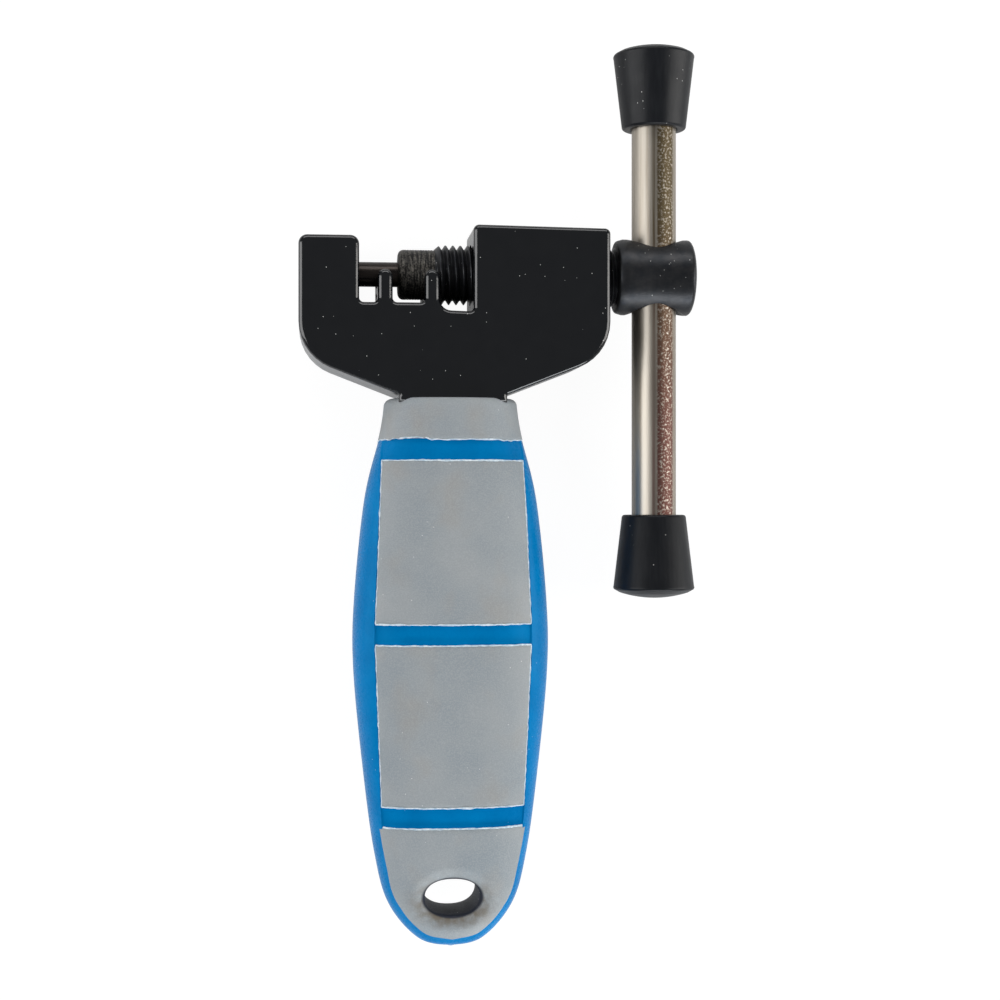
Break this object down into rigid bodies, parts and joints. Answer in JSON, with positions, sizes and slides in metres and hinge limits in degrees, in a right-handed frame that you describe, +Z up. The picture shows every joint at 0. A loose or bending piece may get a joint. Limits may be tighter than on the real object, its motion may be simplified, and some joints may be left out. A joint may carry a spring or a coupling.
{
  "type": "chain tool",
  "caption": "Hand tool that presses a rivet out of a bicycle chain: C-shaped head, forcing screw turned by a sliding T-bar, drive pin and a padded handle.",
  "frame": {"origin": "centre of the bounding box at its lowest face, with the tool lying on its back and its T-bar as stored", "axes": "+X along the screw axis from the anvil jaw towards the T-bar, +Y from the handle's end towards the head, +Z up out of the front face"},
  "size_m": [0.0534, 0.121, 0.0165],
  "materials": {
    "head_paint": "gloss black paint",
    "screw_steel": "black oxide, lightly oiled",
    "nose_steel": "turned, grey-brown",
    "pin_steel": "dark hardened steel",
    "rod_chrome": "bright nickel plate",
    "cap_plastic": "satin black",
    "core_plastic": "hard, semi-gloss blue",
    "grip_rubber": "soft matt grey"
  },
  "bodies": {
    "frame": {"head_frame": "head_paint", "handle_core": "core_plastic", "grip_collar": "grip_rubber", "grip_front_upper": "grip_rubber", "grip_front_lower": "grip_rubber", "grip_rear_upper": "grip_rubber", "grip_rear_lower": "grip_rubber", "grip_end_pad": "grip_rubber"},
    "pin": {"drive_pin": "pin_steel"},
    "screw": {"forcing_screw": "screw_steel", "pin_nose": "nose_steel"},
    "tbar": {"tbar_rod": "rod_chrome", "tbar_cap_upper": "cap_plastic", "tbar_cap_lower": "cap_plastic"}
  },
  "joints": [
    {"name": "pin_advance", "type": "slide", "parent": "frame", "child": "pin", "axis": [-1, 0, 0], "range_m": [-0.0165, 0.001]},
    {"name": "screw_turn", "type": "hinge", "parent": "pin", "child": "screw", "pos_m": [-0.0065, 0.0292, 0.00825], "axis": [-1, 0, 0], "range_deg": [-5940, 360]},
    {"name": "tbar_slide", "type": "slide", "parent": "screw", "child": "tbar", "axis": [0, 1, 0], "range_m": [-0.0144, 0.0266]}
  ],
  "couplings": [
    {"joint": "pin_advance", "follows": "screw_turn", "m_per_rad": 0.00015915}
  ]
}
